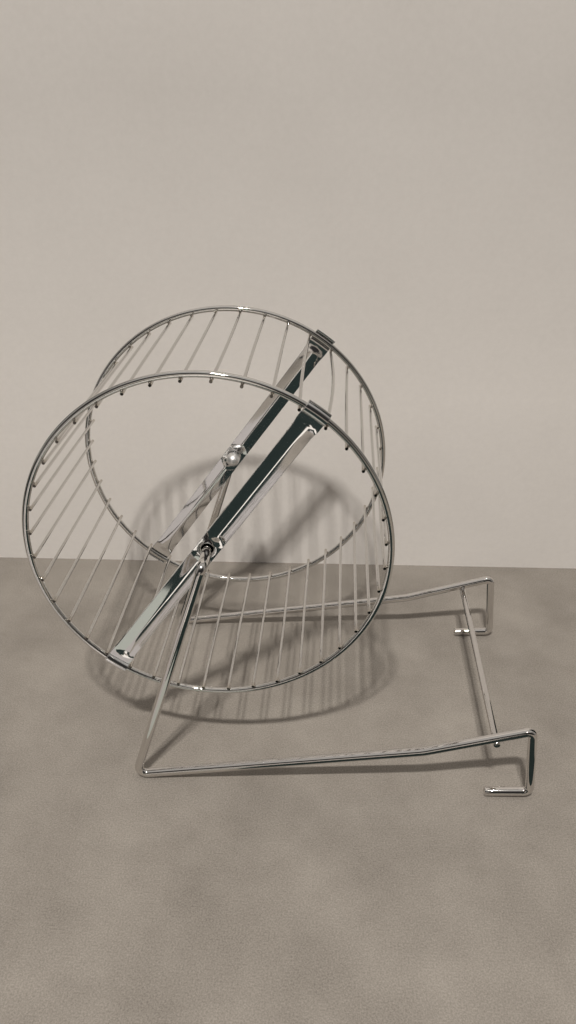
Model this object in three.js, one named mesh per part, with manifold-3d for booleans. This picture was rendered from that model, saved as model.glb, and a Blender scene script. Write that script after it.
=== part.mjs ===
// Exercise wheel for a small rodent: a drum of welded wire that turns between the two springy
// legs of a bent-wire stand, which hooks on to a cage or stands on its feet and hook ends.
// Millimetres, +Z up. X runs along the stand towards its hooks, Y along the axle, away from the
// front. The origin is on the floor, under the middle of the whole wheel and stand.

import * as THREE from "three";
import { mergeVertices } from "three/addons/utils/BufferGeometryUtils.js";
import Module from "manifold-3d";

const wasm = await Module();
wasm.setup();

// ---------------------------------------------------------------- driving dimensions

// Drum
const drumDiameter = 170; // over the outside of the rims
const rimWire = 3;
const rimSpacing = 101; // between the centrelines of the two rims
const rungWire = 1.5;
const rungsPerHalf = 20; // on each side of the bars
const tabGap = 0.33; // between a bar's flat end and the rungs beside it
const rungOverhang = 0.4; // how far a rung's end stands past the rim's outer face
const weldGap = 0.2; // left between two pieces that are welded together

// Spoke bars: a strip of sheet across each rim, pressed to a trough whose crease points inwards
const barAngle = 54.7; // degrees above the floor
const sheet = 1;
const tabWidth = 11.4; // flat ends
const barWidth = 10.4; // where the trough draws the strip in
const troughDepth = 0.9;
const creaseRadius = 0.8;
const tabFlat = 3; // between the trough's round end and the rim
const lipLength = 0.5; // past the rim

// Bearings: a cup pressed into the middle of each bar takes a pin of the stand
const padRadius = 4.6; // flat ring round the cup's mouth
const padBlend = 4; // over which the trough deepens again
const cupDepth = 9; // from the bar's plane to the closed end
const cupCorner = 3.4; // round the outside of the closed end
const pinClearance = 0.35; // all round the pin
const pinEndFloat = 2.2;

// Stand: two bent side wires, each with its pin, leg, base and hook, and one cross wire
const sideWire = 4.5;
const sideSpacing = 132; // between the centrelines of the side wires
const axleHeight = 130;
const footSetback = 39.8; // from the axle to the corner of the foot
const kinkReach = 106; // from the axle to where the base bends up
const kinkHeight = 27.4;
const riseRun = 50.5; // from the kink along the floor to the shoulder, the top of the hook
const riseHeight = 16.8; // from the kink up to the shoulder
const heelRun = 4.3; // from the shoulder along the floor to the heel, the hook's lower corner
const heelHeight = 4.1;
const hookLength = 22.5; // from the heel to the cut end, which touches the floor
const bendRadius = 4; // centreline of the pin and foot bends
const kinkRadius = 30;
const shoulderRadius = 2.6;
const heelRadius = 3.3;
const crossWire = 3.5;
const crossSetback = 17.3; // from the shoulder back along the floor to the cross wire's welds
const crossInset = 1.5; // from the side wires' outer faces to the cross wire's ends

// Fineness of the round surfaces
const bendStep = THREE.MathUtils.degToRad(18);
const sideWireSides = 10;
const thinWireSides = 8;
const rimSides = 10;
const rimSegments = 80;
const grooveSides = 16;
const cupSides = 24;
const noseSteps = 4;
const foldLines = 10;
const fewestBendSteps = 2;
const mergeTolerance = 1e-4;
const cornerPasses = 5; // of the search for the foot's corner

// Worked out from them
const rimRadius = (drumDiameter - rimWire) / 2;
const rungRadius = rimRadius - rimWire / 2 - weldGap - rungWire / 2;
const rungLength = rimSpacing + rimWire + 2 * rungOverhang;
const besideBar = Math.asin((tabWidth / 2 + tabGap + rungWire / 2) / rungRadius); // to the next rung
const grooveRadius = rimWire / 2 + weldGap;
const bulgeRadius = grooveRadius + sheet;
const barHalfLength = rimRadius + bulgeRadius + lipLength;
const troughEnd = rimRadius - bulgeRadius - tabFlat; // outermost point of the trough's round end
const cupInnerRadius = sideWire / 2 + pinClearance;
const cupOuterRadius = cupInnerRadius + sheet;
const pinTip = rimSpacing / 2 - cupDepth + sheet + pinEndFloat; // from the middle of the axle
const shoulderReach = kinkReach + riseRun;
const shoulderHeight = kinkHeight + riseHeight;
const heelReach = shoulderReach + heelRun;

// ---------------------------------------------------------------- materials

function chrome(color, roughness) {
  return new THREE.MeshStandardMaterial({ color, roughness, metalness: 1 });
}

const rimChrome = chrome(0xc8c5bf, 0.12);
const rungChrome = chrome(0xb9b4ac, 0.2);
const sheetChrome = chrome(0xcbc9c5, 0.14);
const standChrome = chrome(0xc4c0ba, 0.12);

// ---------------------------------------------------------------- shaping helpers

// The closed mesh of a geometry as a solid that can be joined and cut.
function solid(geometry) {
  const bare = geometry.clone();
  bare.deleteAttribute("normal");
  bare.deleteAttribute("uv");
  const merged = mergeVertices(bare, mergeTolerance);
  return new wasm.Manifold(
    new wasm.Mesh({
      numProp: 3,
      vertProperties: merged.attributes.position.array,
      triVerts: new Uint32Array(merged.index.array),
    }),
  );
}

// A solid's surface as a geometry.
function surface(body) {
  const mesh = body.getMesh();
  const geometry = new THREE.BufferGeometry();
  geometry.setAttribute("position", new THREE.BufferAttribute(mesh.vertProperties, mesh.numProp));
  geometry.setIndex(new THREE.BufferAttribute(mesh.triVerts, 1));
  geometry.computeVertexNormals();
  return geometry;
}

function named(name, geometry, material) {
  const mesh = new THREE.Mesh(geometry, material);
  mesh.name = name;
  return mesh;
}

// A curve whose stations are exactly the given points, so that a sweep sets one section at each.
class StationCurve extends THREE.Curve {
  constructor(stations) {
    super();
    this.stations = stations;
  }

  getPoint(t, target = new THREE.Vector3()) {
    const last = this.stations.length - 1;
    const i = Math.min(Math.floor(t * last), last - 1);
    return target.lerpVectors(this.stations[i], this.stations[i + 1], t * last - i);
  }

  getUtoTmapping(u) {
    return u;
  }
}

// Points along a bent wire: straight runs joined by round bends at the inner corners.
function bentPath(corners) {
  const points = [corners[0].at];
  for (let i = 1; i < corners.length - 1; i++) {
    const { at, radius } = corners[i];
    const back = corners[i - 1].at.clone().sub(at).normalize();
    const ahead = corners[i + 1].at.clone().sub(at).normalize();
    const turn = Math.PI - back.angleTo(ahead);
    const tangent = radius * Math.tan(turn / 2);
    const centre = back.clone().add(ahead).setLength(radius / Math.cos(turn / 2)).add(at);
    const spoke = at.clone().addScaledVector(back, tangent).sub(centre);
    const axis = ahead.clone().cross(back).normalize();
    const steps = Math.max(fewestBendSteps, Math.ceil(turn / bendStep));
    for (let k = 0; k <= steps; k++) {
      points.push(spoke.clone().applyAxisAngle(axis, (turn * k) / steps).add(centre));
    }
  }
  points.push(corners.at(-1).at);
  return points;
}

// A round wire swept along the points, with flat cut ends.
function wireAlong(points, diameter, sides) {
  const outline = Array.from({ length: sides }, (_, i) => {
    const angle = (2 * Math.PI * i) / sides;
    return new THREE.Vector2(Math.cos(angle), Math.sin(angle)).multiplyScalar(diameter / 2);
  });
  return new THREE.ExtrudeGeometry(new THREE.Shape(outline), {
    steps: points.length - 1,
    bevelEnabled: false,
    extrudePath: new StationCurve(points),
  });
}

// ---------------------------------------------------------------- drum

// A ring round the axle.
function ring(tubeRadius, sides) {
  return new THREE.TorusGeometry(rimRadius, tubeRadius, sides, rimSegments).rotateX(Math.PI / 2);
}

function rim(name) {
  return named(name, ring(rimWire / 2, rimSides), rimChrome);
}

// Rungs are numbered round the drum from the upper end of the bars, anticlockwise from the front.
function rungs() {
  const group = new THREE.Group();
  const pitch = (Math.PI - 2 * besideBar) / (rungsPerHalf - 1);
  for (let i = 0; i < 2 * rungsPerHalf; i++) {
    const half = Math.floor(i / rungsPerHalf);
    const barEnd = THREE.MathUtils.degToRad(barAngle) + Math.PI * half;
    const angle = barEnd + besideBar + pitch * (i % rungsPerHalf);
    const geometry = new THREE.CylinderGeometry(rungWire / 2, rungWire / 2, rungLength, thinWireSides);
    const rung = named(`rung_${String(i + 1).padStart(2, "0")}`, geometry, rungChrome);
    rung.position.set(rungRadius * Math.cos(angle), 0, rungRadius * Math.sin(angle));
    group.add(rung);
  }
  return group;
}

// Depth of the trough below the flat strip, at x along the bar and z across it.
function troughAt(x, z) {
  const half = barWidth / 2;
  const pastStraight = Math.max(0, Math.abs(x) - (troughEnd - half));
  const fromCrease = Math.min(half, Math.hypot(pastStraight, z));
  const rise = (distance) => Math.hypot(distance, creaseRadius);
  const fold = (rise(half) - rise(fromCrease)) / (rise(half) - rise(0));
  const clearOfCup = THREE.MathUtils.smoothstep(Math.hypot(x, z), padRadius, padRadius + padBlend);
  return troughDepth * fold * clearOfCup;
}

// Sections along one half of the bar, closer together where its form changes.
function barStations() {
  const noseStart = troughEnd - barWidth / 2;
  const padEnd = padRadius + padBlend;
  const stations = [0, padRadius / 2, padRadius];
  for (let k = 1; k <= noseSteps; k++) stations.push(padRadius + (padBlend * k) / noseSteps);
  stations.push((2 * padEnd + noseStart) / 3, (padEnd + 2 * noseStart) / 3, noseStart);
  for (let k = 1; k <= noseSteps; k++) stations.push(noseStart + (barWidth * k) / (2 * noseSteps));
  stations.push(barHalfLength);
  return stations;
}

// The strip lies in the rim's plane: x along it, +y outwards, z across it.
function foldedStrip() {
  const half = barStations();
  const stations = [...half.slice(1).reverse().map((x) => -x), ...half];
  const steps = stations.length - 1;
  const strip = new THREE.BoxGeometry(steps, sheet, tabWidth, steps, 1, foldLines);
  const position = strip.attributes.position;
  for (let i = 0; i < position.count; i++) {
    const x = stations[Math.round(position.getX(i) + steps / 2)];
    const onStraight = THREE.MathUtils.smoothstep(troughEnd - Math.abs(x), 0, barWidth / 2);
    const z = position.getZ(i) * THREE.MathUtils.lerp(1, barWidth / tabWidth, onStraight);
    position.setXYZ(i, x, position.getY(i) - troughAt(x, z), z);
  }
  return solid(strip);
}

// A round plug down the axle, from its closed end with a rounded corner up to the top.
function plug(radius, corner, noseY, topY) {
  const profile = [new THREE.Vector2(0, noseY)];
  for (let k = 0; k <= noseSteps; k++) {
    const angle = (Math.PI / 2) * (k / noseSteps);
    profile.push(
      new THREE.Vector2(
        radius - corner + corner * Math.sin(angle),
        noseY + corner - corner * Math.cos(angle),
      ),
    );
  }
  profile.push(new THREE.Vector2(radius, topY), new THREE.Vector2(0, topY));
  return solid(new THREE.LatheGeometry(profile, cupSides));
}

function spokeBar(name) {
  const bulgeBottom = -sheet / 2;
  const bulgeTop = bulgeRadius + sheet;
  let bar = foldedStrip();
  for (const side of [-1, 1]) {
    const reach = new THREE.BoxGeometry(2 * (bulgeRadius + sheet), bulgeTop - bulgeBottom, tabWidth);
    reach.translate(side * rimRadius, (bulgeTop + bulgeBottom) / 2, 0);
    bar = bar.add(solid(ring(bulgeRadius, grooveSides)).intersect(solid(reach)));
  }
  bar = bar.add(plug(cupOuterRadius, cupCorner, -cupDepth, sheet / 2));
  bar = bar.subtract(plug(cupInnerRadius, cupCorner - sheet, sheet - cupDepth, sheet));
  bar = bar.subtract(solid(ring(grooveRadius, grooveSides)));
  return named(name, surface(bar), sheetChrome);
}

function drum() {
  const group = new THREE.Group();
  group.position.z = axleHeight;

  const frontRim = rim("front_rim");
  frontRim.position.y = -rimSpacing / 2;
  const backRim = rim("back_rim");
  backRim.position.y = rimSpacing / 2;
  group.add(frontRim, backRim, rungs());

  const tilted = new THREE.Group();
  tilted.rotation.y = -THREE.MathUtils.degToRad(barAngle);
  const frontBar = spokeBar("front_spoke_bar");
  frontBar.rotation.x = Math.PI;
  frontBar.position.y = -rimSpacing / 2;
  const backBar = spokeBar("back_spoke_bar");
  backBar.position.y = rimSpacing / 2;
  tilted.add(frontBar, backBar);
  group.add(tilted);
  return group;
}

// ---------------------------------------------------------------- stand

// Height of the foot's corner that lets its round bend just touch the floor.
function footCornerHeight() {
  let height = sideWire / 2;
  for (let pass = 0; pass < cornerPasses; pass++) {
    const leg = Math.atan2(axleHeight - height, footSetback);
    const base = Math.atan2(kinkHeight - height, footSetback + kinkReach);
    const cut = bendRadius / Math.sin((leg - base) / 2);
    height = sideWire / 2 + bendRadius - cut * Math.sin((leg + base) / 2);
  }
  return height;
}

// One side of the stand, on the front at side -1 and on the back at side 1.
function sideWirePath(side) {
  const y = (side * sideSpacing) / 2;
  const at = (x, z) => new THREE.Vector3(x, y, z);
  return bentPath([
    { at: new THREE.Vector3(0, side * pinTip, axleHeight) },
    { at: at(0, axleHeight), radius: bendRadius },
    { at: at(-footSetback, footCornerHeight()), radius: bendRadius },
    { at: at(kinkReach, kinkHeight), radius: kinkRadius },
    { at: at(shoulderReach, shoulderHeight), radius: shoulderRadius },
    { at: at(heelReach, heelHeight), radius: heelRadius },
    { at: at(heelReach - hookLength, sideWire / 2) },
  ]);
}

function standWire(name, side) {
  return named(name, wireAlong(sideWirePath(side), sideWire, sideWireSides), standChrome);
}

// The cross wire hangs under the rising run between the kink and the shoulder.
function crossBrace(name) {
  const rise = new THREE.Vector2(riseRun, riseHeight);
  const shoulder = new THREE.Vector2(shoulderReach, shoulderHeight);
  const weld = shoulder.addScaledVector(rise, -crossSetback / riseRun);
  const below = new THREE.Vector2(rise.y, -rise.x).setLength((sideWire + crossWire) / 2 + weldGap);
  const length = sideSpacing + sideWire - 2 * crossInset;
  const geometry = new THREE.CylinderGeometry(crossWire / 2, crossWire / 2, length, thinWireSides);
  const brace = named(name, geometry, standChrome);
  brace.position.set(weld.x + below.x, 0, weld.y + below.y);
  return brace;
}

function stand() {
  const group = new THREE.Group();
  group.add(standWire("front_stand_wire", -1), standWire("back_stand_wire", 1));
  group.add(crossBrace("cross_wire"));
  return group;
}

// ---------------------------------------------------------------- assembly

const assembly = new THREE.Group();
assembly.add(drum(), stand());

// Stand it on the floor, with the origin under its middle.
const extent = new THREE.Box3().setFromObject(assembly, true);
const middle = extent.getCenter(new THREE.Vector3());
assembly.position.set(-middle.x, -middle.y, -extent.min.z);

const part = new THREE.Group();
part.add(assembly);

export default part;
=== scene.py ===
# %% [markdown]
# # A rodent's exercise wheel in chromed wire
# The real thing is a drum of thin wires welded inside two rings, with a pressed strip of sheet
# metal across each ring. A pin at the end of each stand wire runs in a cup pressed into the
# strip. The whole stand is two thick bent wires and one thinner cross wire. Everything is bright
# chrome, so this lesson is about round, clean metal: how to bend wire with bmesh, how to press
# sheet, and how to light something that shows nothing but what is round it.

# %% Load the fixed frame
import math
import random

import bmesh
import bpy
from mathutils import Matrix, Vector


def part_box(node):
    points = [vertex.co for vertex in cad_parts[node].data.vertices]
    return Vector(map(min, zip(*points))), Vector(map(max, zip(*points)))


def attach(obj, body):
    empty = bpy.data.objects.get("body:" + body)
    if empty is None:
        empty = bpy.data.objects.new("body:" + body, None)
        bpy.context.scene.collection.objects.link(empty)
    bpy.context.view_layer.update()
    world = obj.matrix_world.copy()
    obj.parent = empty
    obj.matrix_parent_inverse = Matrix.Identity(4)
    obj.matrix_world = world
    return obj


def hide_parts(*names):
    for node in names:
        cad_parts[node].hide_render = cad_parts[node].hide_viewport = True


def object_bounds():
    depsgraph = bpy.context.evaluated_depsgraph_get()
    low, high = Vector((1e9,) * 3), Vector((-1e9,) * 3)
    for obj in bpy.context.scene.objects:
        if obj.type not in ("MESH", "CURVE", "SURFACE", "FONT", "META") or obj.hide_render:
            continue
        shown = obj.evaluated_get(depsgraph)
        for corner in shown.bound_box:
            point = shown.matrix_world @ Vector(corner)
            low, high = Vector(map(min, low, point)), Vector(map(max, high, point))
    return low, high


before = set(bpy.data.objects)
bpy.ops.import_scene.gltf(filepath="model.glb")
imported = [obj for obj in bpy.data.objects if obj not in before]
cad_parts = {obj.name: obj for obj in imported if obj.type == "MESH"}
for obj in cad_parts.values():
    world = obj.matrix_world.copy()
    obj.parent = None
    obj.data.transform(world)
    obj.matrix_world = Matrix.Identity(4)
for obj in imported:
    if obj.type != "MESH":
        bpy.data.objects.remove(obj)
cad_low, cad_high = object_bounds()
print("CAD box in mm:", [round(1000 * v, 2) for v in (*cad_low, *cad_high)])

# %% [markdown]
# ## Working in millimetres about the axle
# The frame is in metres, but wire and sheet are ordered in millimetres, and everything here is
# laid out from the axle. So each piece is modelled in millimetres with the axle's middle at zero,
# and one matrix takes it to its place in the frame at the end. A rim's box is centred on the
# axle, so the two rims' boxes give the axle's middle.

# %% Find the axle
MM = 0.001


def box_middle(node):
    low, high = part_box(node)
    return (low + high) / 2


axle = (box_middle("front_rim") + box_middle("back_rim")) / 2
TO_FRAME = Matrix.Translation(axle) @ Matrix.Scale(MM, 4)
print("axle in mm:", [round(v / MM, 2) for v in axle])

# %% [markdown]
# ## Sizes
# Wire and sheet come in stock thicknesses, so those come first, and then the sizes that more than
# one piece needs. Where two wires are welded, a small gap is kept between them, as in the frame,
# and a bead of metal fills it. A size that only one piece needs stands beside that piece.

# %% Sizes in millimetres
RIM_WIRE = 3.0
RUNG_WIRE = 1.5
STAND_WIRE = 4.5
SHEET = 1.0
WELD_GAP = 0.2
RIM_RADIUS = 83.5
RIM_SPACING = 101.0
BAR_TILT = math.radians(54.7)
BAR_WIDTH = 10.4
TAB_WIDTH = 11.4

drum_size = (2 * RIM_RADIUS + RIM_WIRE, RIM_SPACING + RIM_WIRE)
print("drum", drum_size[0], "mm across and", drum_size[1], "mm wide")

# %% [markdown]
# ## Camera
# The picture was taken by hand with a short lens, close to the wheel and a little above it. The
# distance matters more than the lens: it makes the front rim so much larger than the back one.
# The camera's place is given from the axle, and its direction as the three angles a tripod head
# has, in degrees. A lens is given in millimetres anyway.

# %% Camera
CAMERA_PLACE = Vector((55.5, -362.3, 193.7))
CAMERA_LENS = 28.465
CAMERA_TURN = -3.435
CAMERA_DOWN = 28.946
CAMERA_ROLL = 0.479
CAMERA_SENSOR = 36
CAMERA_CLIP = 10

camera_data = bpy.data.cameras.new("camera")
camera_data.lens = CAMERA_LENS
camera_data.sensor_width = CAMERA_SENSOR
camera_data.clip_start = CAMERA_CLIP * MM
camera = bpy.data.objects.new("camera", camera_data)
bpy.context.scene.collection.objects.link(camera)
turn, down, roll = (math.radians(a) for a in (CAMERA_TURN, CAMERA_DOWN, CAMERA_ROLL))
camera.matrix_world = (
    Matrix.Translation(TO_FRAME @ CAMERA_PLACE)
    @ Matrix.Rotation(-turn, 4, "Z")
    @ Matrix.Rotation(math.pi / 2 - down, 4, "X")
    @ Matrix.Rotation(roll, 4, "Z")
)
bpy.context.scene.camera = camera
print("camera in mm:", [round(v / MM, 1) for v in camera.matrix_world.translation])

# %% [markdown]
# ## Node trees in a few words
# A finish is a small graph of nodes. A few helpers keep each graph readable. The first fills a
# node's sockets, each with a plain value or with another node's output, and the second adds a
# node and fills it. The others add what comes up again and again: a stretched range, a sum and a
# blend of two colours. A colour's fourth part is its opacity, always 1 here.

# %% Node helpers


def fill(tree, node, sockets):
    for name, value in sockets.items():
        if isinstance(value, bpy.types.NodeSocket):
            tree.links.new(value, node.inputs[name])
        else:
            node.inputs[name].default_value = value


def add(tree, kind, sockets=None, **settings):
    made = tree.nodes.new(kind)
    for name, value in settings.items():
        setattr(made, name, value)
    fill(tree, made, sockets or {})
    return made


def spread(tree, value, span, result):
    """Stretches the part of a pattern inside span to the range of result."""
    sockets = {"Value": value, "From Min": span[0], "From Max": span[1]}
    sockets |= {"To Min": result[0], "To Max": result[1]}
    return add(tree, "ShaderNodeMapRange", sockets).outputs["Result"]


def total(tree, first, second):
    return add(tree, "ShaderNodeMath", {0: first, 1: second}, operation="ADD").outputs[0]


def blend(tree, share, first, second):
    """Goes from the first colour to the second as share goes from 0 to 1."""
    sockets = {"Factor": share, "A": first, "B": second}
    return add(tree, "ShaderNodeMix", sockets, data_type="RGBA").outputs["Result"]


# %% [markdown]
# ## Chrome that isn't a perfect mirror
# Chrome plate is a mirror as smooth as the metal below it. Drawn wire has long, hair-fine lines
# along its length, sheet has faint roll lines, and any handled chrome has a soft haze in patches
# and a few dull specks. A single roughness would look like computer metal. Here three patterns
# share the work: lines stretched along the piece, patches of haze, and specks. The lines have to
# follow each bend, so every piece carries an attribute, "lay", with the distance along the metal
# and the place across it, in millimetres, as if it had never been bent.

# %% Patterns on chrome
LINE_LENGTH = 0.035
LINE_NOISE = {"Scale": 1.0, "Detail": 4.0, "Roughness": 0.6}
HAZE_NOISE = {"Scale": 45, "Detail": 3.0}
SPECK_SCALE = 900


def metal_lay(tree):
    return add(tree, "ShaderNodeAttribute", attribute_name="lay").outputs["Vector"]


def drawing_lines(tree, lines_per_mm):
    """Noise that is stretched along the metal until it runs as lines."""
    scale = (LINE_LENGTH, lines_per_mm, lines_per_mm)
    drawn = add(tree, "ShaderNodeMapping", {"Vector": metal_lay(tree), "Scale": scale})
    sockets = {"Vector": drawn.outputs["Vector"], **LINE_NOISE}
    return add(tree, "ShaderNodeTexNoise", sockets).outputs["Fac"]


def haze_and_specks(tree):
    place = add(tree, "ShaderNodeTexCoord").outputs["Object"]
    haze = add(tree, "ShaderNodeTexNoise", {"Vector": place, **HAZE_NOISE})
    specks = add(tree, "ShaderNodeTexVoronoi", {"Vector": place, "Scale": SPECK_SCALE})
    return haze.outputs["Fac"], specks.outputs["Distance"]


# %% [markdown]
# ## One recipe for four chromes
# Each piece's chrome adds the three patterns to its own polish, and the lines also make a bump,
# two hundredths of a millimetre high at most. The rims and the stand come first. They differ
# little: the stand's thicker wire has wider lines.

# %% Chrome finishes
LINE_SPAN = (0.35, 0.75)
HAZE_SPAN = (0.45, 0.8)
SPECK_SPAN = (0, 0.12)
SPECK_ROUGHNESS = 0.22
LINE_HEIGHT = 0.02


def chrome(name, color, polish, line_roughness, haze_roughness, lines_per_mm, line_depth):
    finish = bpy.data.materials.new(name)
    finish.use_nodes = True
    tree = finish.node_tree
    lines = drawing_lines(tree, lines_per_mm)
    haze, specks = haze_and_specks(tree)
    line_part = spread(tree, lines, LINE_SPAN, (polish, polish + line_roughness))
    haze_part = spread(tree, haze, HAZE_SPAN, (0, haze_roughness))
    speck_part = spread(tree, specks, SPECK_SPAN, (SPECK_ROUGHNESS, 0))
    roughness = total(tree, total(tree, line_part, haze_part), speck_part)
    height = {"Height": lines, "Strength": line_depth, "Distance": LINE_HEIGHT * MM}
    bump = add(tree, "ShaderNodeBump", height).outputs["Normal"]
    sockets = {"Metallic": 1, "Base Color": color, "Roughness": roughness, "Normal": bump}
    fill(tree, tree.nodes["Principled BSDF"], sockets)
    print(name, "roughness from", polish)
    return finish


rim_finish = chrome(
    "rim_chrome",
    (0.74, 0.73, 0.71, 1),
    polish=0.02,
    line_roughness=0.04,
    haze_roughness=0.04,
    lines_per_mm=2.2,
    line_depth=0.2,
)
stand_finish = chrome(
    "stand_chrome",
    (0.74, 0.72, 0.70, 1),
    polish=0.02,
    line_roughness=0.04,
    haze_roughness=0.04,
    lines_per_mm=1.6,
    line_depth=0.2,
)

# %% [markdown]
# ## Metal that was drawn deep
# Deep drawing stretches the sheet and roughens it, so the cups in the spoke bars are duller than
# the strips round them. "lay" keeps each vert's height before the trough was pressed, in its
# third part, so the same attribute says how deep in the cup a point is.

# %% Bar finish
DULL_FROM = -1.5
DULL_TO = -4.0
CUP_ROUGHNESS = 0.42

bar_finish = chrome(
    "bar_chrome",
    (0.84, 0.84, 0.84, 1),
    polish=0.03,
    line_roughness=0.05,
    haze_roughness=0.05,
    lines_per_mm=0.9,
    line_depth=0.3,
)
bar_tree = bar_finish.node_tree
bar_shader = bar_tree.nodes["Principled BSDF"]
in_cup = add(bar_tree, "ShaderNodeSeparateXYZ", {"Vector": metal_lay(bar_tree)}).outputs["Z"]
cup_part = spread(bar_tree, in_cup, (DULL_TO, DULL_FROM), (CUP_ROUGHNESS, 0))
strip_part = bar_shader.inputs["Roughness"].links[0].from_socket
fill(bar_tree, bar_shader, {"Roughness": total(bar_tree, strip_part, cup_part)})
print("the cups get duller from", -DULL_FROM, "to", -DULL_TO, "mm deep")

# %% [markdown]
# ## Heat marks beside the welds
# Each rung is held for an instant between two electrodes and melts to the rim. Plating covers the
# mark, but a slightly dull, warm patch stays round the joint. The rungs get their own chrome,
# whose colour turns to a weak straw tint near both ends of the wire, by the distance in "lay".
# The cut end itself is painted near black, a painted dark reflection on the small end faces.

# %% Rung finish
RUNG_OVERHANG = 0.4
RUNG_LENGTH = RIM_SPACING + RIM_WIRE + 2 * RUNG_OVERHANG
RUNG_COLOR = (0.71, 0.695, 0.675, 1)
STRAW_COLOR = (0.54, 0.49, 0.42, 1)
# Near black at the cut end is a painted dark reflection, not a colour of the metal.
PAINTED_END_REFLECTION = (0.10, 0.09, 0.08, 1)
HEAT_REACH = (5.5, 1)
HEAT_SHARE = 0.7
CUT_REACH = (0.12, 0.02)

rung_finish = chrome(
    "rung_chrome",
    RUNG_COLOR,
    polish=0.05,
    line_roughness=0.08,
    haze_roughness=0.06,
    lines_per_mm=3.0,
    line_depth=0.4,
)
rung_tree = rung_finish.node_tree
along = add(rung_tree, "ShaderNodeSeparateXYZ", {"Vector": metal_lay(rung_tree)}).outputs["X"]
middle = {0: along, 1: RUNG_LENGTH / 2}
from_middle = add(rung_tree, "ShaderNodeMath", middle, operation="SUBTRACT").outputs[0]
reach = add(rung_tree, "ShaderNodeMath", {0: from_middle}, operation="ABSOLUTE").outputs[0]
heat_span, cut_span = (
    [RUNG_LENGTH / 2 - inwards for inwards in span] for span in (HEAT_REACH, CUT_REACH)
)
heat = spread(rung_tree, reach, heat_span, (0, HEAT_SHARE))
# cut marks where the painted dark reflection covers the end of the rung.
cut = spread(rung_tree, reach, cut_span, (0, 1))
warm = blend(rung_tree, heat, RUNG_COLOR, STRAW_COLOR)
with_painted_end_reflection = blend(rung_tree, cut, warm, PAINTED_END_REFLECTION)
fill(rung_tree, rung_tree.nodes["Principled BSDF"], {"Base Color": with_painted_end_reflection})
print("heat marks reach", HEAT_REACH[0], "mm in from each end")

# %% [markdown]
# ## Bending wire
# A bench bender holds straight wire and turns it round pins. The same idea works in bmesh: start
# with a circle, extrude its edges, and carry each new ring to the next stop. On a straight the
# ring only moves, and on a bend it turns a few degrees at each stop. A curve object with a round
# bevel would be shorter to write, but its rings pinch at tight corners and it can't carry "lay".
# The corners come in as points with a bend radius, as on a wire bender's drawing.

# %% Stops along a bent wire
BEND_STEP = math.radians(9)


def stops_along(corners):
    """Turns corners, each a point and a bend radius, into ring centres and directions."""
    stops = [(corners[0][0], (corners[1][0] - corners[0][0]).normalized())]
    for before, (corner, bend), after in zip(corners, corners[1:], corners[2:]):
        come = (corner - before[0]).normalized()
        go = (after[0] - corner).normalized()
        angle = come.angle(go)
        hinge = come.cross(go).normalized()
        start = corner - come * bend * math.tan(angle / 2)
        centre = start + hinge.cross(come) * bend
        steps = math.ceil(angle / BEND_STEP) + 1
        for k in range(steps + 1):
            spin = Matrix.Rotation(angle * k / steps, 3, hinge)
            stops.append((centre + spin @ (start - centre), spin @ come))
    stops.append((corners[-1][0], (corners[-1][0] - corners[-2][0]).normalized()))
    return [(point, heading, 1.0) for point, heading in stops]


print("each stop of a bend turns by", round(math.degrees(BEND_STEP)), "degrees or less")

# %% [markdown]
# ## Cutting the ends
# A wire's end is sheared and tumbled, so its edge is a small round, and the stand's pins are
# turned to a dome. Both are the same thing: near the end the ring moves in as it shrinks, along a
# quarter of an ellipse. The size of each ring is kept with its stop, so one helper can drive it.

# %% Rounded ends
ROUND_STEPS = 5


def round_end(stops, radius, inset, length, at_start):
    """Replaces the first or last stop with rings that shrink by inset over length."""
    point, heading, _ = stops[0] if at_start else stops[-1]
    inward = heading if at_start else -heading
    rings = []
    for k in range(ROUND_STEPS + 1):
        angle = math.pi / 2 * k / ROUND_STEPS
        centre = point + inward * length * (1 - math.cos(angle))
        rings.append((centre, heading, 1 - inset / radius * (1 - math.sin(angle))))
    return rings + stops[1:] if at_start else stops[:-1] + rings[::-1]


print("a rounded end takes", ROUND_STEPS + 1, "rings")

# %% [markdown]
# ## Drawing the wire
# The wire starts as one circle, turned to face along the first stretch. For each stop its edges
# are extruded, and the new ring is carried from the last stop to the next one by a single matrix,
# which moves, turns and shrinks it. The ends are closed with a flat face each.

# %% Mesh helpers


def new_mesh():
    bm = bmesh.new()
    bm.verts.layers.float_vector.new("lay")
    return bm


def ring_of(made):
    """The new verts and the new ring of edges that an extrusion made."""
    verts = {item for item in made["geom"] if isinstance(item, bmesh.types.BMVert)}
    edges = [item for item in made["geom"] if isinstance(item, bmesh.types.BMEdge)]
    return list(verts), [edge for edge in edges if verts.issuperset(edge.verts)]


def cap(bm, edges):
    for face in bmesh.ops.contextual_create(bm, geom=edges)["faces"]:
        face.smooth = False


# %% Draw a wire through its stops


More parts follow.
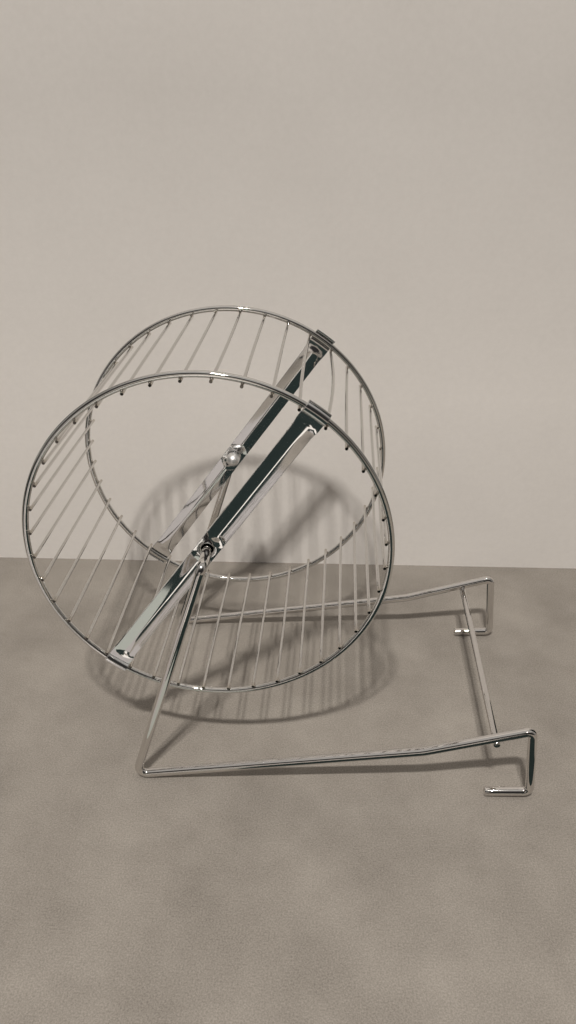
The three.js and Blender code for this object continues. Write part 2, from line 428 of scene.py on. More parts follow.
def draw_wire(bm, stops, radius, sides):
    lay = bm.verts.layers.float_vector["lay"]
    point, heading, size = stops[0]
    verts = bmesh.ops.create_circle(bm, segments=sides, radius=radius)["verts"]
    edges = list({edge for vert in verts for edge in vert.link_edges})
    for vert in verts:
        vert[lay] = (0, vert.co.x, vert.co.y)
    aim = Vector((0, 0, 1)).rotation_difference(heading).to_matrix().to_4x4()
    place = Matrix.Translation(point) @ aim @ Matrix.Scale(size, 4)
    bmesh.ops.transform(bm, matrix=place, verts=verts)
    first_ring = edges
    travelled = 0
    for next_point, next_heading, next_size in stops[1:]:
        verts, edges = ring_of(bmesh.ops.extrude_edge_only(bm, edges=edges))
        bend = heading.rotation_difference(next_heading).to_matrix().to_4x4()
        step = (
            Matrix.Translation(next_point)
            @ bend
            @ Matrix.Scale(next_size / size, 4)
            @ Matrix.Translation(-point)
        )
        bmesh.ops.transform(bm, matrix=step, verts=verts)
        travelled += (next_point - point).length
        for vert in verts:
            vert[lay].x = travelled
        point, heading, size = next_point, next_heading, next_size
    for face in bm.faces:
        face.smooth = True
    cap(bm, first_ring)
    cap(bm, edges)
    return travelled


# %% [markdown]
# ## From bmesh to a piece
# Every finished mesh goes through one door: it is moved into the frame, its faces are turned
# outwards, it gets its finish, it is hung on the empty of the body it rides on, and the CAD node it
# stands for is hidden.

# %% Finish a piece


def to_object(bm, name, finish):
    mesh = bpy.data.meshes.new(name)
    bm.to_mesh(mesh)
    bm.free()
    mesh.materials.append(finish)
    made = bpy.data.objects.new(name, mesh)
    bpy.context.scene.collection.objects.link(made)
    return made


def finish_piece(bm, name, body, finish, node):
    bmesh.ops.transform(bm, matrix=TO_FRAME, verts=bm.verts)
    bmesh.ops.recalc_face_normals(bm, faces=bm.faces)
    made = to_object(bm, name, finish)
    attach(made, body)
    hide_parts(node)
    return made


# %% [markdown]
# ## Rims
# A rim is one length of wire rolled to a hoop and butt-welded. A spin does the rolling: a circle
# of wire section goes once round the axle, and use_merge closes it. The seam lies at the bar's
# end, where the strip wraps the rim and hides it.

# %% Rims
RIM_SIDES = 24
RIM_STEPS = 160


def roll_rim(name, node, y):
    bm = new_mesh()
    lay = bm.verts.layers.float_vector["lay"]
    verts = bmesh.ops.create_circle(bm, segments=RIM_SIDES, radius=RIM_WIRE / 2)["verts"]
    start = Matrix.Rotation(-BAR_TILT, 4, "Y") @ Matrix.Translation((RIM_RADIUS, y, 0))
    bmesh.ops.transform(bm, matrix=start, verts=verts)
    bmesh.ops.spin(
        bm,
        geom=bm.verts[:] + bm.edges[:],
        cent=(0, 0, 0),
        axis=(0, 1, 0),
        dvec=(0, 0, 0),
        angle=2 * math.pi,
        steps=RIM_STEPS,
        use_merge=True,
    )
    for vert in bm.verts:
        angle = (math.atan2(vert.co.z, vert.co.x) - BAR_TILT) % (2 * math.pi)
        reach = math.hypot(vert.co.x, vert.co.z) - RIM_RADIUS
        vert[lay] = (angle * RIM_RADIUS, reach, vert.co.y - y)
    for face in bm.faces:
        face.smooth = True
    print(name, len(bm.faces), "faces")
    return finish_piece(bm, name, "wheel", rim_finish, node)


roll_rim("front_hoop", "front_rim", -RIM_SPACING / 2)
roll_rim("back_hoop", "back_rim", RIM_SPACING / 2)

# %% [markdown]
# ## Weld beads
# Where a rung meets a rim, the metal has flowed into a small bead. A fillet would need the two
# wires to be one mesh, but a squashed ball that sits in the joint gives the same neck and costs
# 80 faces. Its three half sizes are outwards from the axle, along the axle and round it.

# %% Weld beads
BEAD_DETAIL = 2
RUNG_BEAD = (0.5, 1.1, 0.85)
RUNG_WELD_RADIUS = RIM_RADIUS - RIM_WIRE / 2 - WELD_GAP / 2


def weld_bead(bm, centre, size, angle):
    turned = Matrix.Rotation(-angle, 4, "Y") @ Matrix.Diagonal((*size, 1))
    place = Matrix.Translation(centre) @ turned
    made = bmesh.ops.create_icosphere(bm, subdivisions=BEAD_DETAIL, radius=1, matrix=place)
    lay = bm.verts.layers.float_vector["lay"]
    for vert in made["verts"]:
        vert[lay] = (centre.y + RUNG_LENGTH / 2, vert.co.x, vert.co.z)
    for face in {face for vert in made["verts"] for face in vert.link_faces}:
        face.smooth = True


print("the rungs are welded", RUNG_WELD_RADIUS, "mm from the axle")

# %% [markdown]
# ## Rungs
# Forty straight wires are welded inside the rims, twenty on each side of the spoke bars, at an
# even pitch. Straightened wire is never quite straight, and in use some get bent, so each rung
# bows by a few tenths of a millimetre, from a seeded random number, and the two beside the bars'
# upper ends bow more.

# %% Rungs
RUNGS_PER_HALF = 20
RUNG_SIDES = 16
RUNG_STRETCHES = 10
RUNG_CUT = 0.15
TAB_GAP = 0.33
BOW = 0.25
BOW_SEED = 8
STRONG_BOWS = {40: Vector((2.3, 0, 0.2)), 1: Vector((-0.8, 0, 0.3))}
ALONG_AXLE = Vector((0, 1, 0))
RUNG_RADIUS = RIM_RADIUS - RIM_WIRE / 2 - WELD_GAP - RUNG_WIRE / 2
BESIDE_BAR = math.asin((TAB_WIDTH / 2 + TAB_GAP + RUNG_WIRE / 2) / RUNG_RADIUS)
random.seed(BOW_SEED)


def rung_angle(number):
    half, place = divmod(number - 1, RUNGS_PER_HALF)
    pitch = (math.pi - 2 * BESIDE_BAR) / (RUNGS_PER_HALF - 1)
    return BAR_TILT + math.pi * half + BESIDE_BAR + pitch * place


def make_rung(number):
    angle = rung_angle(number)
    outward = Vector((math.cos(angle), 0, math.sin(angle)))
    bow = Vector((random.uniform(-BOW, BOW), 0, random.uniform(-BOW, BOW)))
    bow = STRONG_BOWS.get(number, bow)
    stops = []
    for k in range(RUNG_STRETCHES + 1):
        y = RUNG_LENGTH * (k / RUNG_STRETCHES - 0.5)
        lift = max(0, math.cos(math.pi * y / RIM_SPACING))
        point = outward * RUNG_RADIUS + Vector((0, y, 0)) + bow * lift
        stops.append((point, ALONG_AXLE, 1.0))
    stops = round_end(stops, RUNG_WIRE / 2, RUNG_CUT, RUNG_CUT, True)
    stops = round_end(stops, RUNG_WIRE / 2, RUNG_CUT, RUNG_CUT, False)
    bm = new_mesh()
    draw_wire(bm, stops, RUNG_WIRE / 2, RUNG_SIDES)
    for y in (-RIM_SPACING / 2, RIM_SPACING / 2):
        weld_bead(bm, outward * RUNG_WELD_RADIUS + Vector((0, y, 0)), RUNG_BEAD, angle)
    name = f"rung_wire_{number:02d}"
    return finish_piece(bm, name, "wheel", rung_finish, f"rung_{number:02d}")


rung_pieces = [make_rung(number) for number in range(1, 2 * RUNGS_PER_HALF + 1)]
print(len(rung_pieces), "rungs of", len(rung_pieces[0].data.polygons), "faces")

# %% [markdown]
# ## Spoke bars
# Each bar is a strip of sheet, pressed in one blow: a trough along it for stiffness, a flat pad
# with a deep cup in the middle, flat tabs at the ends, and a half-round groove in each tab that
# grips the rim. In bmesh a pressing is best made as a plain sheet without thickness, cut into
# enough faces, whose verts are then pushed to depth by one formula. The thickness comes last,
# with Solidify.
#
# The middle of the strip has to go from a round mouth to straight edges. Two circles and a circle
# pulled to a square are bridged, so that the faces flow from one to the other.

# %% Depth of the pressing
TROUGH_DEPTH = 0.9
CREASE_RADIUS = 0.8
END_STEEPNESS = 2.0
SPOON_LENGTH = 11.0
SPOON_RADIUS = 5.0
PAD_RADIUS = 4.6
PAD_BLEND = 4.0
GROOVE_RADIUS = RIM_WIRE / 2 + WELD_GAP
TAB_FLAT = 3.0
TROUGH_END = RIM_RADIUS - GROOVE_RADIUS - SHEET - TAB_FLAT


def smoothstep(value, low, high):
    t = min(1, max(0, (value - low) / (high - low)))
    return t * t * (3 - 2 * t)


def trough(x, y):
    """Depth of the trough, x along the strip and y across it."""
    half = BAR_WIDTH / 2
    past = max(0, abs(x) - (TROUGH_END - half / END_STEEPNESS)) * END_STEEPNESS
    from_crease = min(half, math.hypot(past, y))
    spoon = smoothstep(abs(x), TROUGH_END - SPOON_LENGTH, TROUGH_END - half / END_STEEPNESS)
    crease = CREASE_RADIUS + (SPOON_RADIUS - CREASE_RADIUS) * spoon
    rise = [math.hypot(distance, crease) for distance in (half, from_crease, 0)]
    fold = (rise[0] - rise[1]) / (rise[0] - rise[2])
    return TROUGH_DEPTH * fold * smoothstep(math.hypot(x, y), PAD_RADIUS, PAD_RADIUS + PAD_BLEND)


def half_width(x):
    on_trough = smoothstep(TROUGH_END - abs(x), 0, BAR_WIDTH / 2)
    return (TAB_WIDTH + (BAR_WIDTH - TAB_WIDTH) * on_trough) / 2


deepest = max(trough(x, 0) for x in range(round(RIM_RADIUS)))
print("deepest", round(deepest, 2), "mm, width at the rim", round(2 * half_width(RIM_RADIUS), 2))

# %% [markdown]
# ## The cup
# The cup is drawn deep, so its mouth is rounded and its closed end has a round corner. It is made
# from the mouth's edge inwards, ring by ring, along a profile of radius and height that runs in
# the middle of the sheet.

# %% Profile of the cup
CUP_DEPTH = 9.0
PIN_CLEARANCE = 0.35
CUP_MIDDLE = STAND_WIRE / 2 + PIN_CLEARANCE + SHEET / 2
MOUTH_ROUND = 0.9
CUP_CORNER = 2.9
ARC_STEPS = 5


def cup_profile():
    """Radius and height of each ring, from the mouth's edge to the middle of the closed end."""
    rings = []
    for k in range(1, ARC_STEPS + 1):
        angle = math.pi / 2 * k / ARC_STEPS
        radius = CUP_MIDDLE + MOUTH_ROUND * (1 - math.sin(angle))
        rings.append((radius, -MOUTH_ROUND * (1 - math.cos(angle))))
    bottom = SHEET / 2 - CUP_DEPTH
    for k in range(ARC_STEPS + 1):
        angle = math.pi / 2 * k / ARC_STEPS
        radius = CUP_MIDDLE - CUP_CORNER * (1 - math.cos(angle))
        rings.append((radius, bottom + CUP_CORNER * (1 - math.sin(angle))))
    rings.append(((CUP_MIDDLE - CUP_CORNER) / 2, bottom))
    return rings


print("the pin runs in a cup", round(2 * CUP_MIDDLE - SHEET, 2), "mm wide inside")

# %% [markdown]
# ## The plate round the cup
# Three rings lie in the plate: the cup's mouth, the edge of the flat pad, and a square as wide as
# the strip. Bridging them gives the faces, and extruding the mouth's ring down the profile gives
# the cup.

# %% Plate and cup
PLATE_SIDES = 64
END_TOLERANCE = 0.001


def plate_ring(bm, radius, square):
    verts = bmesh.ops.create_circle(bm, segments=PLATE_SIDES, radius=radius)["verts"]
    edges = list({edge for vert in verts for edge in vert.link_edges})
    if square:
        for vert in verts:
            vert.co *= radius / max(abs(vert.co.x), abs(vert.co.y))
    return edges


def draw_cup(bm, edges):
    """Extrudes the mouth's ring of edges down the cup's profile and closes its end."""
    radius, height = CUP_MIDDLE + MOUTH_ROUND, 0
    for next_radius, next_height in cup_profile():
        verts, edges = ring_of(bmesh.ops.extrude_edge_only(bm, edges=edges))
        shrink = next_radius / radius
        bmesh.ops.scale(bm, vec=(shrink, shrink, 1), verts=verts)
        bmesh.ops.translate(bm, vec=(0, 0, next_height - height), verts=verts)
        radius, height = next_radius, next_height
    bmesh.ops.contextual_create(bm, geom=edges)


def plate_with_cup(bm):
    """Makes the plate and its cup. Returns the two end rows of edges, from which the arms grow."""
    mouth = plate_ring(bm, CUP_MIDDLE + MOUTH_ROUND, False)
    pad = plate_ring(bm, PAD_RADIUS, False)
    outer = plate_ring(bm, BAR_WIDTH / 2, True)
    bmesh.ops.bridge_loops(bm, edges=mouth + pad)
    bmesh.ops.bridge_loops(bm, edges=pad + outer)
    draw_cup(bm, mouth)

    def at_end(edge, direction):
        end = BAR_WIDTH / 2 - END_TOLERANCE
        return all(direction * vert.co.x > end for vert in edge.verts)

    return [[edge for edge in outer if at_end(edge, direction)] for direction in (-1, 1)]


# %% [markdown]
# ## Arms, tabs and the grip on the rim
# From each end of the plate the strip is extruded outwards, row by row. Rows are close together
# where the form changes. Past the flat tab, the rows climb over the rim: a small round up, a half
# circle over the wire, a small round down, and a short lip.

# %% Rows of an arm
GROOVE_MIDDLE = GROOVE_RADIUS + SHEET / 2
GRIP_ROUND = 0.8
GRIP_STEPS = 14
ROW_PITCH = 1.0
LIP = 0.5


def arm_rows():
    """Distance from the axle and height of each row of edges past the plate."""
    across = math.sqrt((GROOVE_MIDDLE + GRIP_ROUND) ** 2 - GRIP_ROUND**2)
    flat_end = RIM_RADIUS - across
    flat = flat_end - BAR_WIDTH / 2
    count = math.ceil(flat / ROW_PITCH)
    rows = [(BAR_WIDTH / 2 + flat * k / count, 0) for k in range(1, count + 1)]
    meet = math.asin(across / (GROOVE_MIDDLE + GRIP_ROUND))
    for k in range(1, ARC_STEPS + 1):
        angle = meet * k / ARC_STEPS
        rows.append((flat_end + GRIP_ROUND * math.sin(angle), GRIP_ROUND * (1 - math.cos(angle))))
    for k in range(1, GRIP_STEPS):
        angle = meet * (2 * k / GRIP_STEPS - 1)
        rows.append((RIM_RADIUS + GROOVE_MIDDLE * math.sin(angle), GROOVE_MIDDLE * math.cos(angle)))
    for k in range(ARC_STEPS, -1, -1):
        angle = meet * k / ARC_STEPS
        reach = RIM_RADIUS + across - GRIP_ROUND * math.sin(angle)
        rows.append((reach, GRIP_ROUND * (1 - math.cos(angle))))
    rows.append((RIM_RADIUS + GROOVE_RADIUS + SHEET + LIP, 0))
    return rows


print(len(arm_rows()), "rows in each arm")

# %% [markdown]
# ## Pressing the sheet
# Once all faces are there, each vert is pushed down by the trough's depth at its place. The grip
# follows the rim's own curve, so its rows bend a little towards the axle at their ends.

# %% Push the sheet to depth
GRIP_BLEND = 2


def press_sheet(bm):
    lay = bm.verts.layers.float_vector["lay"]
    for vert in bm.verts:
        x, y = vert.co.x, vert.co.y
        vert[lay] = vert.co
        if math.hypot(x, y) < PAD_RADIUS:
            continue
        vert.co.z -= trough(x, y)
        on_grip = smoothstep(abs(x), TROUGH_END, TROUGH_END + GRIP_BLEND)
        inner = math.copysign(math.sqrt(x * x - y * y), x) if abs(x) > abs(y) else x
        vert.co.x = x + (inner - x) * on_grip


# %% [markdown]
# ## Thickness and place
# The two bars are the same pressing, turned to face away from each other. Solidify gives the
# sheet its thickness, half to each side, and Bevel takes the sharpness off its sheared edges.

# %% Spoke bars
EDGE_ROUND = 0.18
EDGE_STEPS = 3
EDGE_ANGLE = math.radians(50)


def thicken(bar):
    thick = bar.modifiers.new("thickness", "SOLIDIFY")
    thick.thickness = SHEET * MM
    thick.offset = 0
    thick.use_even_offset = True
    edge = bar.modifiers.new("sheared edge", "BEVEL")
    edge.width = EDGE_ROUND * MM
    edge.segments = EDGE_STEPS
    edge.limit_method = "ANGLE"
    edge.angle_limit = EDGE_ANGLE
    edge.harden_normals = True


def press_bar(name, node, side):
    bm = new_mesh()
    ends = plate_with_cup(bm)
    for direction, edges in zip((-1, 1), ends):
        reach, height = BAR_WIDTH / 2, 0
        for next_reach, next_height in arm_rows():
            verts, edges = ring_of(bmesh.ops.extrude_edge_only(bm, edges=edges))
            widen = half_width(next_reach) / half_width(reach)
            bmesh.ops.scale(bm, vec=(1, widen, 1), verts=verts)
            step = (direction * (next_reach - reach), 0, next_height - height)
            bmesh.ops.translate(bm, vec=step, verts=verts)
            reach, height = next_reach, next_height
    press_sheet(bm)
    for face in bm.faces:
        face.smooth = True
    outward = Vector((0, side, 0))
    along_bar = Vector((math.cos(BAR_TILT), 0, math.sin(BAR_TILT)))
    turned = Matrix((along_bar, outward.cross(along_bar), outward)).transposed().to_4x4()
    place = Matrix.Translation(outward * RIM_SPACING / 2) @ turned
    bmesh.ops.transform(bm, matrix=place, verts=bm.verts)
    print(name, len(bm.faces), "faces before its thickness")
    thicken(finish_piece(bm, name, "wheel", bar_finish, node))


press_bar("front_bar_pressing", "front_spoke_bar", -1)
press_bar("back_bar_pressing", "back_spoke_bar", 1)

# %% [markdown]
# ## Stand wires
# One thick wire makes each side of the stand: the pin, the leg down to the foot, the base, the
# rise and the hook. The corners below are those of a bender's drawing, in millimetres from the
# axle. The foot's corner is set so that its round bend just touches the floor: a bend cuts its
# corner short, so the corner lies a little under the wire's resting height. The slopes of leg and
# base depend on that height in turn, so it is worked out a few times over.

# %% Corners of a stand wire
SIDE_SPACING = 132.0
AXLE_HEIGHT = 130.0
PIN_END_FLOAT = 2.2
PIN_END = RIM_SPACING / 2 - CUP_DEPTH + SHEET + PIN_END_FLOAT
FOOT_SETBACK = 39.8
KINK = (106.0, 27.4)
SHOULDER = (156.5, 44.2)
HEEL = (160.8, 4.1)
HOOK_LENGTH = 22.5
BEND = 4.0
KINK_BEND = 30.0
SHOULDER_BEND = 2.6
HEEL_BEND = 3.3
CORNER_PASSES = 5


def foot_corner():
    """Height of the foot's corner over the floor."""
    height = STAND_WIRE / 2
    for _ in range(CORNER_PASSES):
        leg = math.atan2(AXLE_HEIGHT - height, FOOT_SETBACK)
        base = math.atan2(KINK[1] - height, FOOT_SETBACK + KINK[0])
        cut = BEND / math.sin((leg - base) / 2)
        height = STAND_WIRE / 2 + BEND - cut * math.sin((leg + base) / 2)
    return height


def stand_corners(side):
    y = side * SIDE_SPACING / 2

    def at(x, height):
        return Vector((x, y, height - AXLE_HEIGHT))

    return [
        (Vector((0, side * PIN_END, 0)), 0),
        (at(0, AXLE_HEIGHT), BEND),
        (at(-FOOT_SETBACK, foot_corner()), BEND),
        (at(*KINK), KINK_BEND),
        (at(*SHOULDER), SHOULDER_BEND),
        (at(*HEEL), HEEL_BEND),
        (at(HEEL[0] - HOOK_LENGTH, STAND_WIRE / 2), 0),
    ]


print("foot corner", round(foot_corner(), 2), "mm over the floor")

# %% [markdown]
# ## Bending the stand
# The same corners make both sides, mirrored across the middle of the axle. The pin's end is
# turned to a dome, and the hook's end is only tumbled.

# %% Bend the stand wires
STAND_SIDES = 32
PIN_DOME = 1.2
HOOK_ROUND = 0.7


def bend_stand_wire(name, node, side):
    stops = stops_along(stand_corners(side))
    stops = round_end(stops, STAND_WIRE / 2, PIN_DOME, PIN_DOME, True)
    stops = round_end(stops, STAND_WIRE / 2, HOOK_ROUND, HOOK_ROUND, False)
    bm = new_mesh()
    length = draw_wire(bm, stops, STAND_WIRE / 2, STAND_SIDES)
    print(name, "takes", round(length), "mm of wire")
    return finish_piece(bm, name, "stand", stand_finish, node)


bend_stand_wire("front_side_wire", "front_stand_wire", -1)
bend_stand_wire("back_side_wire", "back_stand_wire", 1)

# %% [markdown]
# ## Cross wire
# A straight wire under the two rising runs holds the sides apart. It is welded on with the wires
# crossed, so at each joint a squashed bead of metal fills the groove between them.

# %% Cross wire
CROSS_WIRE = 3.5
CROSS_SETBACK = 17.3
CROSS_INSET = 1.5
CROSS_SIDES = 24
CROSS_CUT = 0.5
CROSS_BEAD = (2.0, 2.2, 1.0)

rise = Vector((SHOULDER[0] - KINK[0], 0, SHOULDER[1] - KINK[1]))
weld = Vector((SHOULDER[0], 0, SHOULDER[1] - AXLE_HEIGHT)) - rise * (CROSS_SETBACK / rise.x)
under = Vector((rise.z, 0, -rise.x)).normalized()
cross_middle = weld + under * ((STAND_WIRE + CROSS_WIRE) / 2 + WELD_GAP)
bead_middle = weld + under * (STAND_WIRE + WELD_GAP) / 2
half_length = (SIDE_SPACING + STAND_WIRE) / 2 - CROSS_INSET
cross_stops = [
    (cross_middle + ALONG_AXLE * side * half_length, ALONG_AXLE, 1.0) for side in (-1, 1)
]
cross_stops = round_end(cross_stops, CROSS_WIRE / 2, CROSS_CUT, CROSS_CUT, True)
cross_stops = round_end(cross_stops, CROSS_WIRE / 2, CROSS_CUT, CROSS_CUT, False)
cross = new_mesh()
draw_wire(cross, cross_stops, CROSS_WIRE / 2, CROSS_SIDES)
for side in (-1, 1):
    bead_place = bead_middle + ALONG_AXLE * side * SIDE_SPACING / 2
    weld_bead(cross, bead_place, CROSS_BEAD, math.atan2(rise.z, rise.x))
finish_piece(cross, "cross_bar", "stand", stand_finish, "cross_wire")
print("cross wire", round(2 * half_length, 1), "mm long")

# %% [markdown]
# ## Concrete and paint
# The wheel stands on a concrete floor, close to a pale painted wall. Both are matt, with a soft
# mottle and a fine grain, so that chrome has something to show. One recipe makes both: two clouds
# of noise, a wide and a fine one, move the colour between a dark and a pale tone.

# %% Matt finishes
MATT = {"Roughness": 0.75, "Specular IOR Level": 0.2}
MOTTLE_NOISE = {"Detail": 8.0, "Roughness": 0.65}
GRAIN_NOISE = {"Detail": 3.0, "Roughness": 0.7}
NOISE_SPAN = (0.3, 0.7)


def matt_finish(name, dark, pale, mottle_scale, grain_scale, mottle_share):
    finish = bpy.data.materials.new(name)
    finish.use_nodes = True
    tree = finish.node_tree
    place = add(tree, "ShaderNodeTexCoord").outputs["Object"]
    sockets = {"Vector": place, "Scale": mottle_scale, **MOTTLE_NOISE}
    mottle = add(tree, "ShaderNodeTexNoise", sockets).outputs["Fac"]
    sockets = {"Vector": place, "Scale": grain_scale, **GRAIN_NOISE}
    grain = add(tree, "ShaderNodeTexNoise", sockets).outputs["Fac"]
    mottle_part = spread(tree, mottle, NOISE_SPAN, (0, mottle_share))
    grain_part = spread(tree, grain, NOISE_SPAN, (0, 1 - mottle_share))
    tone = blend(tree, total(tree, mottle_part, grain_part), dark, pale)
    fill(tree, tree.nodes["Principled BSDF"], {"Base Color": tone, **MATT})
    print(name, "mottled by", mottle_share)
    return finish


floor_finish = matt_finish(
    "floor_concrete",
    dark=(0.16, 0.143, 0.125, 1),
    pale=(0.425, 0.391, 0.353, 1),
    mottle_scale=16,
    grain_scale=1300,
    mottle_share=0.4,
)
wall_finish = matt_finish(
    "wall_paint",
    dark=(0.73, 0.70, 0.675, 1),
    pale=(0.80, 0.77, 0.745, 1),
    mottle_scale=9,
    grain_scale=240,
    mottle_share=0.6,
)

# %% [markdown]
# ## A wall that is there from its front only
# The lamps' shades keep some light from the wall's upper part. That fall of light is painted into
# the wall's colour: painted light makes it a little paler low down, and painted shade makes it
# darker upwards. The wall's own Y runs up, from zero in the middle of the sheet. From behind, the
# material is clear, so the wall never hides the wheel.

# %% Wall finish
STAGE_SIZE = 4.0
# Painted light and shade: between these heights over the floor, the wall's colour is scaled by
# these shares.
PAINTED_FALLOFF_HEIGHTS = (130, 310)
PAINTED_FALLOFF_SHARES = (1.07, 0.84)

wall_tree = wall_finish.node_tree
wall_shader = wall_tree.nodes["Principled BSDF"]
on_wall = add(wall_tree, "ShaderNodeTexCoord").outputs["Object"]
height = add(wall_tree, "ShaderNodeSeparateXYZ", {"Vector": on_wall}).outputs["Y"]
painted_falloff_span = [from_floor * MM - STAGE_SIZE for from_floor in PAINTED_FALLOFF_HEIGHTS]
painted_falloff = spread(wall_tree, height, painted_falloff_span, PAINTED_FALLOFF_SHARES)
# The painted falloff scales the wall's even paint: painted light low down, painted shade higher up.
even_paint = wall_shader.inputs["Base Color"].links[0].from_socket
darkened = {0: even_paint, "Scale": painted_falloff}
paint = add(wall_tree, "ShaderNodeVectorMath", darkened, operation="SCALE").outputs["Vector"]
fill(wall_tree, wall_shader, {"Base Color": paint})

from_behind = add(wall_tree, "ShaderNodeNewGeometry").outputs["Backfacing"]
clear = add(wall_tree, "ShaderNodeBsdfTransparent").outputs["BSDF"]
sides = {"Fac": from_behind, 1: wall_shader.outputs["BSDF"], 2: clear}
one_way = add(wall_tree, "ShaderNodeMixShader", sides).outputs["Shader"]
fill(wall_tree, wall_tree.nodes["Material Output"], {"Surface": one_way})
print("the wall darkens from", PAINTED_FALLOFF_HEIGHTS[0], "mm over the floor")

# %% [markdown]
# ## Floor and wall
# Two large plain sheets make the stage. The floor lies a hair under the wires, so that no face
# lies in another, and the wall isn't quite square to the wheel.

# %% Floor and wall
FLOOR_DROP = 0.03
WALL_DISTANCE = 143.1
WALL_TURN = math.radians(2.25)


def stage_sheet(name, matrix, finish):
    bm = bmesh.new()
    bmesh.ops.create_grid(bm, x_segments=1, y_segments=1, size=STAGE_SIZE)
    made = to_object(bm, name, finish)
    made.matrix_world = matrix


floor_level = cad_low.z - FLOOR_DROP * MM
stage_sheet("floor", Matrix.Translation((0, 0, floor_level)), floor_finish)
wall_middle = (axle.x, axle.y + WALL_DISTANCE * MM, floor_level + STAGE_SIZE)
wall_turned = Matrix.Rotation(WALL_TURN, 4, "Z") @ Matrix.Rotation(math.pi / 2, 4, "X")
stage_sheet("wall", Matrix.Translation(wall_middle) @ wall_turned, wall_finish)
print("wall", WALL_DISTANCE, "mm behind the axle")

# %% [markdown]
# ## The room
# Chrome has no colour of its own, so the room makes the picture. The ceiling and the sides are
# fairly pale and the room in front is dark, and those give each wire its dark and pale lines. The
# world's colour follows the direction of the ray: Y runs from front to back, and Z upwards.

# %% World
FRONT_DARK = (0.03, 0.028, 0.027, 1)
SIDE_PALE = (0.30, 0.28, 0.26, 1)
CEILING_PALE = (0.44, 0.42, 0.395, 1)
FRONT_SPAN = (-0.6, -0.2)
CEILING_SPAN = (0.6, 0.78)

world = bpy.data.worlds.new("room")
bpy.context.scene.world = world
world.use_nodes = True
world_tree = world.node_tree
ray = add(world_tree, "ShaderNodeTexCoord").outputs["Generated"]
way = add(world_tree, "ShaderNodeSeparateXYZ", {"Vector": ray})
beside = spread(world_tree, way.outputs["Y"], FRONT_SPAN, (0, 1))
overhead = spread(world_tree, way.outputs["Z"], CEILING_SPAN, (0, 1))
walls = blend(world_tree, beside, FRONT_DARK, SIDE_PALE)
room = blend(world_tree, overhead, walls, CEILING_PALE)
fill(world_tree, world_tree.nodes["Background"], {"Color": room})
print("the ceiling starts", round(math.degrees(math.asin(CEILING_SPAN[0]))), "degrees up")

# %% [markdown]
# ## Lamps
# Two small lamps near the ceiling, close together in front of the wheel, give the sharp
# highlights and the double shadow. Area lamps are used, because their size sets how soft a
# shadow's edge is.

# %% Lamps
LAMPS = {"left_lamp": (-85, -1000, 1560), "right_lamp": (15, -1000, 1560)}
LAMP_SIZE = 0.06
LAMP_POWER = 13.8
LAMP_COLOR = (1.0, 0.95, 0.88)

for name, place in LAMPS.items():
    lamp_data = bpy.data.lights.new(name, "AREA")
    lamp_data.energy = LAMP_POWER
    lamp_data.size = LAMP_SIZE
    lamp_data.color = LAMP_COLOR
    lamp = bpy.data.objects.new(name, lamp_data)
    lamp.location = TO_FRAME @ Vector(place)
    lamp.rotation_euler = (axle - lamp.location).to_track_quat("-Z", "Y").to_euler()
    bpy.context.scene.collection.objects.link(lamp)
bpy.context.scene.view_settings.view_transform = "Standard"
print(len(LAMPS), "lamps")

# %% [markdown]
# ## Cards that only mirrors see
# Dark and pale cards round chrome draw its lines, as in a product picture. Each card is one flat
# face through its corners. None of them is seen directly, lights anything or casts a shadow.

# %% Card helpers
CARD_MATT = {"Roughness": 0.9, "Specular IOR Level": 0.05}


def card_paint(name, color):
    paint = bpy.data.materials.new(name)
    paint.use_nodes = True
    shader = paint.node_tree.nodes["Principled BSDF"]
    fill(paint.node_tree, shader, {"Base Color": color, **CARD_MATT})
    return paint


def card(name, corners, paint):
    """A flat card through its corners, in millimetres from the axle."""
    bm = bmesh.new()
    places = [TO_FRAME @ Vector(corner) for corner in corners]
    verts = [bmesh.ops.create_vert(bm, co=place)["vert"][0] for place in places]
    bmesh.ops.contextual_create(bm, geom=verts)
    made = to_object(bm, name, paint)
    made.visible_camera = False
    made.visible_diffuse = False
    made.visible_shadow = False
    return made


dark = card_paint("dark_paint", (0.02, 0.03, 0.03, 1))
pale = card_paint("pale_paint", (0.9, 0.88, 0.86, 1))
middling = card_paint("middling_paint", (0.46, 0.44, 0.445, 1))
greenish = card_paint("greenish_paint", (0.44, 0.47, 0.445, 1))
print("paints:", dark.name, pale.name, middling.name, greenish.name)
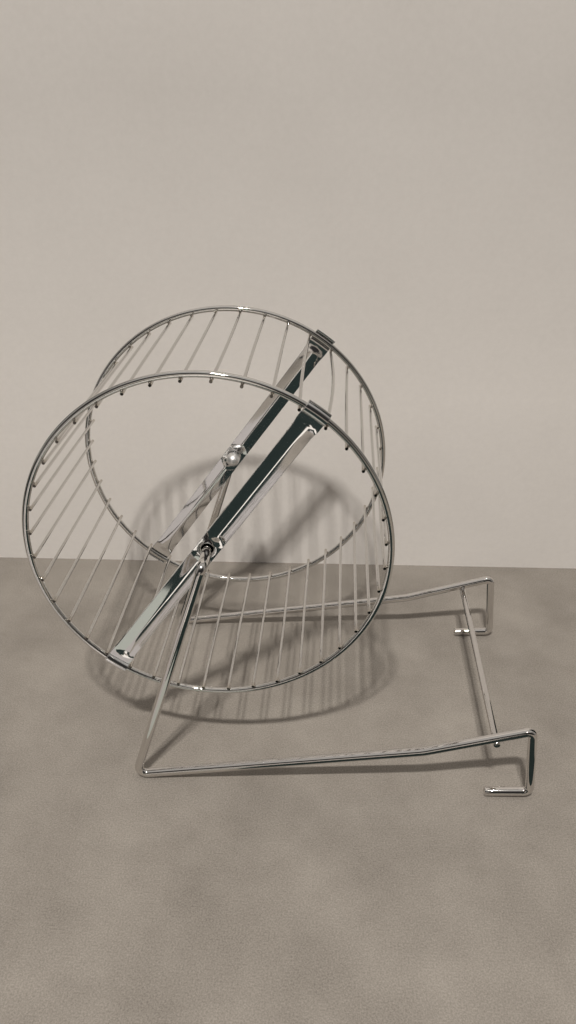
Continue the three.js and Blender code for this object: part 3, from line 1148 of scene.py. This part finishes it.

# %% [markdown]
# ## Cards on the floor
# The bars' faces mirror the floor in front of the wheel, so most cards lie there: a dark one for
# the upper-left faces, a pale and a dark wedge that show as two thin lines along each crease, a
# middle tone for the lower-right faces and a greenish one close by for the near bar's lower half.
# The dark card is a painted shadow: it stands for the shade that falls on the floor in front of the
# wheel. A small pale one, a little above the rest, shows in the flat pads round the cups. Dark ones
# beside the base and behind the wheel draw the lower edges of the base wire and the rungs. The one
# behind the wheel is a painted shadow too, for the shaded floor there. A corner has two numbers,
# how far to the right of the axle it lies and how far behind it. The wedges start a little further
# to the front than the dark card, and all three end at one far line.

# %% Floor cards
CARD_LEVEL = 2 - AXLE_HEIGHT
PAD_CARD_LEVEL = CARD_LEVEL + 1
NEAR = -150
WEDGE_NEAR = -168
FAR = -710


def on_floor(*corners, level=CARD_LEVEL):
    return [(x, y, level) for x, y in corners]


pad_corners = on_floor((-92, -215), (-46, -215), (-40, -285), (-98, -285), level=PAD_CARD_LEVEL)
pale_wedge = on_floor((-82, WEDGE_NEAR), (-66, WEDGE_NEAR), (0, FAR), (-116, FAR))
dark_wedge = on_floor((-108, WEDGE_NEAR), (-82, WEDGE_NEAR), (-116, FAR), (-215, FAR))
left_corners = on_floor((-260, -100), (-390, FAR), (-620, -1600), (-1500, -1600), (-1500, -100))
floor_cards = [
    # The dark card is a painted shadow for the shade on the floor in front of the wheel.
    card("dark_card", on_floor((-62, NEAR), (190, NEAR), (190, FAR), (0, FAR)), dark),
    card("close_card", on_floor((-64, -96), (12, -96), (12, NEAR), (-64, NEAR)), greenish),
    card("base_card", on_floor((12, -76), (190, -76), (190, NEAR), (12, NEAR)), dark),
    # The rear card is a painted shadow for the shaded floor behind the wheel.
    card("rear_card", on_floor((-160, 70), (140, 70), (140, 132), (-160, 132)), dark),
    card("pad_card", pad_corners, pale),
    card("tab_card", on_floor((-100, -100), (-64, -100), (-64, -165), (-100, -165)), middling),
    card("pale_wedge", pale_wedge, pale),
    card("dark_wedge", dark_wedge, dark),
    card("middle_band", on_floor((-250, -110), (-100, -110), (-215, FAR), (-380, FAR)), middling),
    card("left_card", left_corners, dark),
]
print(len(floor_cards), "cards lie on the floor")

# %% [markdown]
# ## Cards that stand
# A pale card far in front of the wheel lights the ends of the troughs, and a dark one at each end
# of the wall draws the sides of the upright wires.

# %% Upright cards
CORNER_Y = 120
CORNER_TOP = 600


def upright(y, left, right, bottom, top):
    return [(left, y, bottom), (right, y, bottom), (right, y, top), (left, y, top)]


upright_cards = [
    card("upright_card", upright(-1500, -800, 100, bottom=-100, top=330), pale),
    card("left_corner", upright(CORNER_Y, -1200, -230, CARD_LEVEL, CORNER_TOP), dark),
    card("right_corner", upright(CORNER_Y, 300, 1200, CARD_LEVEL, CORNER_TOP), dark),
]
print(len(upright_cards), "cards stand")
